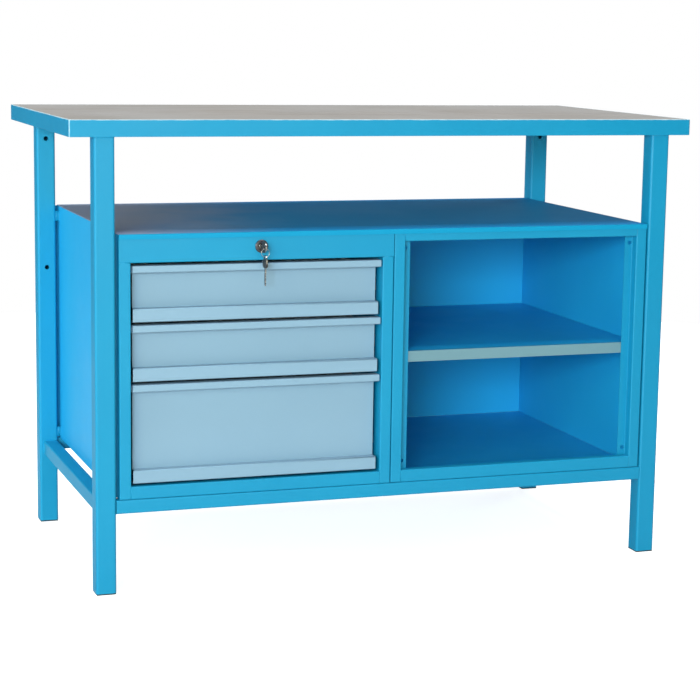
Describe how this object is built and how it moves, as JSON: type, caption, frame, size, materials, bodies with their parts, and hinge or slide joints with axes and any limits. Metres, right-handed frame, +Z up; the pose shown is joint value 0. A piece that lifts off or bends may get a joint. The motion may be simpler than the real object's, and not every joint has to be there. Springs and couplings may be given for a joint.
{
  "type": "steel workbench with cabinets",
  "caption": "Steel workbench with tube legs, a lockable drawer cabinet on the left, and an open cabinet with a shelf on the right.",
  "frame": {"origin": "on the floor under the middle of the whole object's box, the keys in front included", "axes": "+X along the worktop to the right seen from the front, +Y from the front to the rear, +Z up"},
  "size_m": [1.2, 0.631, 0.85],
  "materials": {
    "blue_paint": "satin powder coat",
    "pale_paint": "satin powder coat",
    "grey_sheet": "matt, worn",
    "board": "raw",
    "zinc": "zinc plated",
    "nickel": "nickel plated",
    "black_plastic": "moulded"
  },
  "bodies": {
    "bench": {"edge_front": "blue_paint", "edge_right": "blue_paint", "edge_rear": "blue_paint", "edge_left": "blue_paint", "leg_front_left": "blue_paint", "leg_rear_left": "blue_paint", "leg_front_right": "blue_paint", "leg_rear_right": "blue_paint", "side_stretcher_left": "blue_paint", "side_stretcher_right": "blue_paint", "tie_rail_front": "blue_paint", "tie_rail_rear": "blue_paint", "drawer_cabinet_side_left": "blue_paint", "drawer_cabinet_side_right": "blue_paint", "drawer_cabinet_base": "blue_paint", "drawer_cabinet_back": "blue_paint", "open_cabinet_side_left": "blue_paint", "open_cabinet_side_right": "blue_paint", "open_cabinet_base": "blue_paint", "open_cabinet_back": "blue_paint", "lock_rail": "blue_paint", "open_cabinet_top_rail": "blue_paint", "cabinet_top": "blue_paint", "worktop_board": "board", "worktop_surface": "grey_sheet", "foot_plug_front_left": "black_plastic", "foot_plug_rear_left": "black_plastic", "foot_plug_front_right": "black_plastic", "foot_plug_rear_right": "black_plastic", "shelf": "blue_paint", "shelf_clip_front_left": "zinc", "shelf_clip_front_right": "zinc", "shelf_clip_rear_left": "zinc", "shelf_clip_rear_right": "zinc", "runner_channel_1_left": "zinc", "runner_channel_1_right": "zinc", "runner_channel_2_left": "zinc", "runner_channel_2_right": "zinc", "runner_channel_3_left": "zinc", "runner_channel_3_right": "zinc", "lock_housing": "nickel", "lock_bar_guide": "zinc"},
    "drawer_1": {"drawer_front_1": "pale_paint", "drawer_box_1": "zinc", "runner_slide_1_left": "zinc", "runner_slide_1_right": "zinc"},
    "drawer_2": {"drawer_front_2": "pale_paint", "drawer_box_2": "zinc", "runner_slide_2_left": "zinc", "runner_slide_2_right": "zinc"},
    "drawer_3": {"drawer_front_3": "pale_paint", "drawer_box_3": "zinc", "runner_slide_3_left": "zinc", "runner_slide_3_right": "zinc"},
    "lock_cylinder": {"lock_plug": "nickel", "lock_rod": "zinc"},
    "locking_bar": {"lock_bar": "zinc"},
    "key": {"key": "nickel"},
    "key_ring": {"key_ring": "nickel"},
    "spare_key": {"spare_key": "nickel"}
  },
  "joints": [
    {"name": "drawer_1_slide", "type": "slide", "parent": "bench", "child": "drawer_1", "axis": [0, -1, 0], "range_m": [0, 0.38]},
    {"name": "drawer_2_slide", "type": "slide", "parent": "bench", "child": "drawer_2", "axis": [0, -1, 0], "range_m": [0, 0.38]},
    {"name": "drawer_3_slide", "type": "slide", "parent": "bench", "child": "drawer_3", "axis": [0, -1, 0], "range_m": [0, 0.38]},
    {"name": "lock_turn", "type": "hinge", "parent": "bench", "child": "lock_cylinder", "pos_m": [-0.2527, -0.28354, 0.624], "axis": [0, 1, 0], "range_deg": [0, 90]},
    {"name": "lock_bar_lift", "type": "slide", "parent": "bench", "child": "locking_bar", "axis": [0, 0, 1], "range_m": [0, 0.012]},
    {"name": "key_pull", "type": "slide", "parent": "lock_cylinder", "child": "key", "axis": [0, -1, 0], "range_m": [0, 0.03]},
    {"name": "key_ring_swing", "type": "hinge", "parent": "key", "child": "key_ring", "pos_m": [-0.2527, -0.30554, 0.6222], "axis": [-1, 0, 0], "range_deg": [-5, 60]},
    {"name": "spare_key_swing", "type": "hinge", "parent": "key_ring", "child": "spare_key", "pos_m": [-0.2527, -0.30554, 0.6072], "axis": [-1, 0, 0], "range_deg": [-8, 60]}
  ],
  "couplings": [
    {"joint": "lock_turn", "follows": "lock_bar_lift", "rad_per_m": 130.9}
  ]
}
